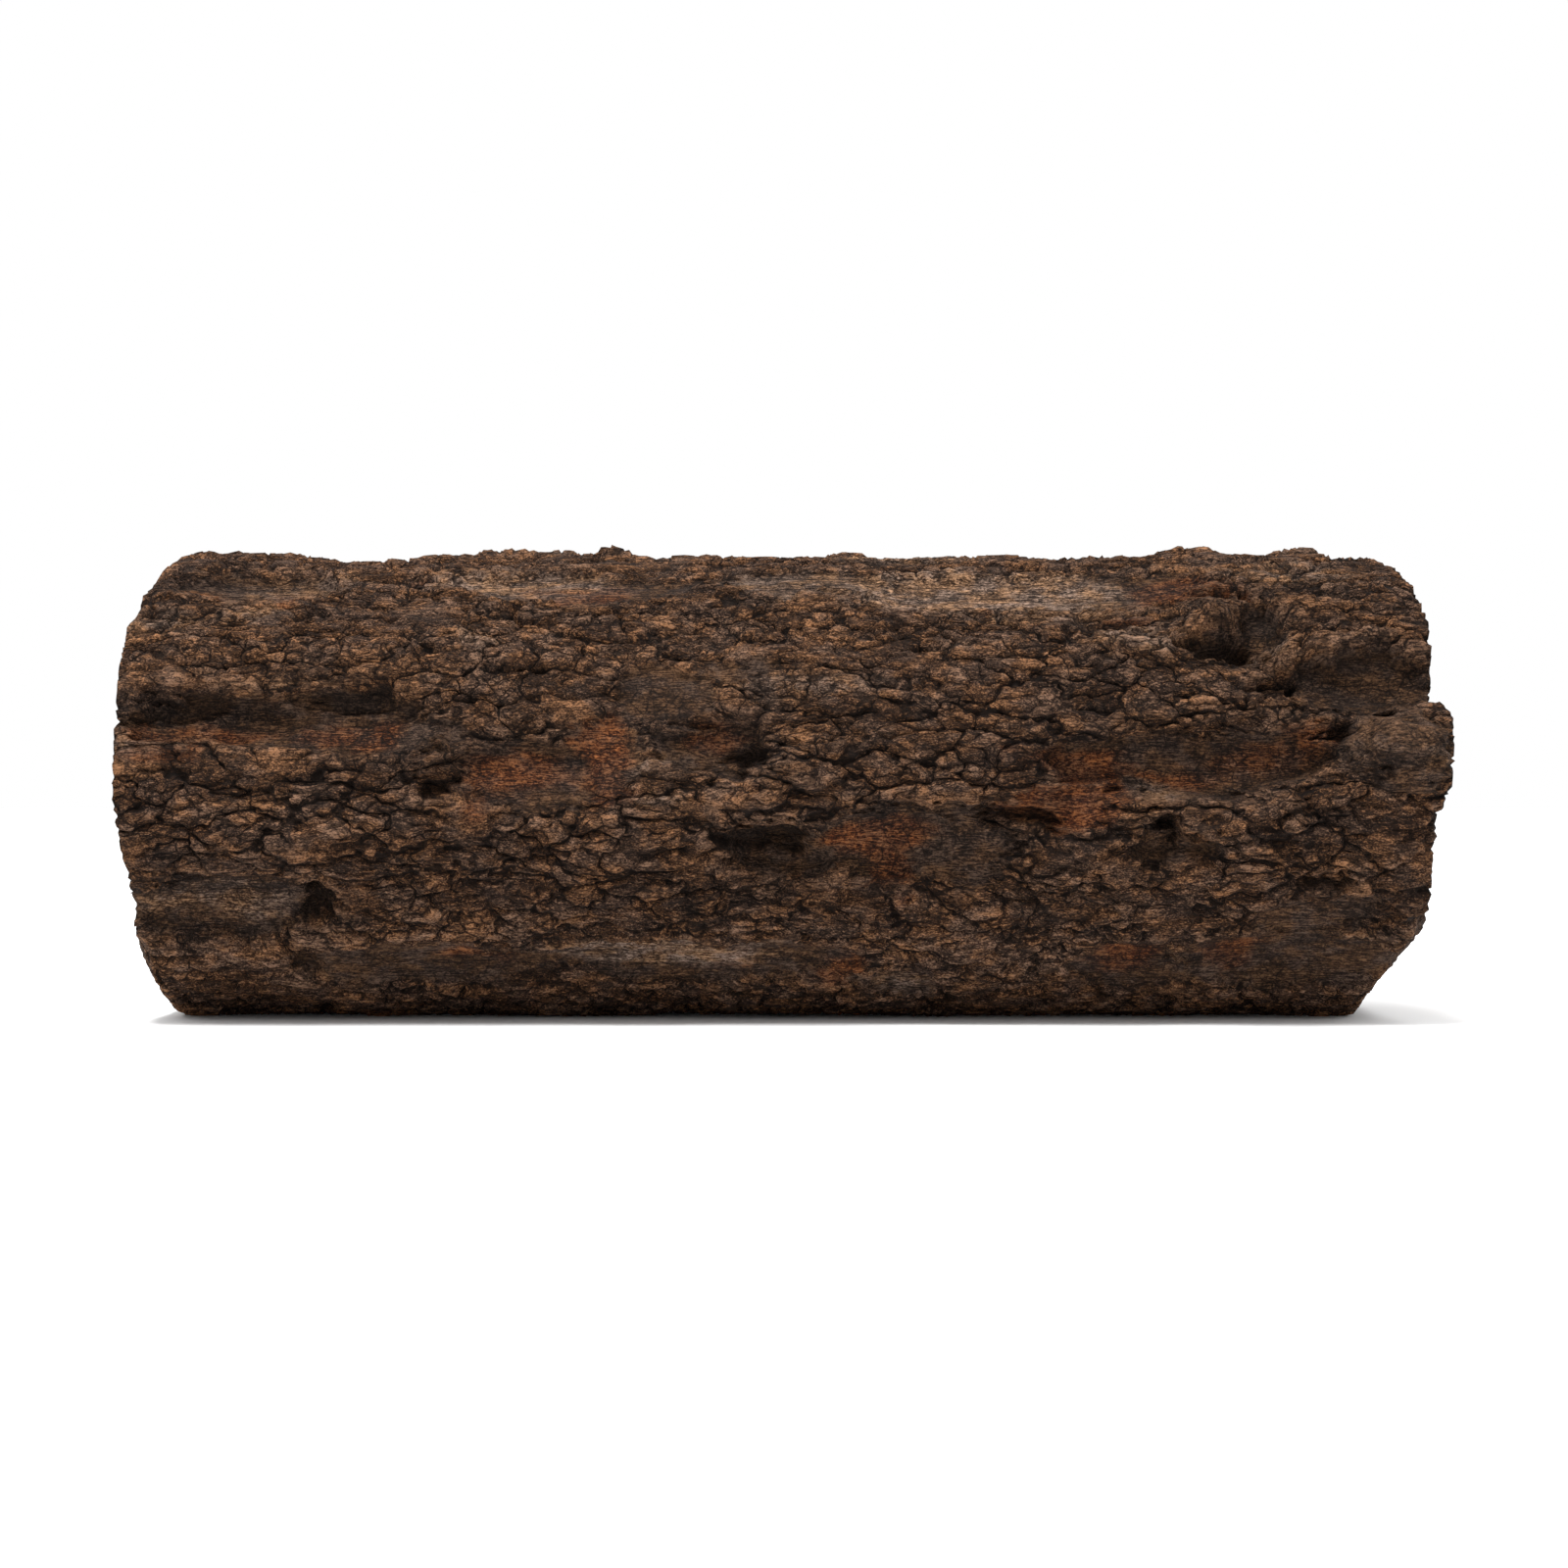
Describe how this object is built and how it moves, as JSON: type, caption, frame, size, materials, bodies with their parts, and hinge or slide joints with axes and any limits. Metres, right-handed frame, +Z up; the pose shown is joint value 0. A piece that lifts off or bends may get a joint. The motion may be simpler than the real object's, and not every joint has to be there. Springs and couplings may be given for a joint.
{
  "type": "wood log",
  "caption": "Short round log with thick, deeply furrowed bark and sawn ends, lying on its side.",
  "frame": {"origin": "on the surface the log lies on, under the middle of its bounding box", "axes": "+X along the pith towards the end with the bark flap, -Y towards the side with the great hollow, +Z up"},
  "size_m": [0.3, 0.1154, 0.1098],
  "materials": {
    "bark": "dry, weathered, very rough bark, dark brown with rust-red patches"
  },
  "bodies": {
    "root": {"wood_log": "bark"}
  },
  "joints": []
}
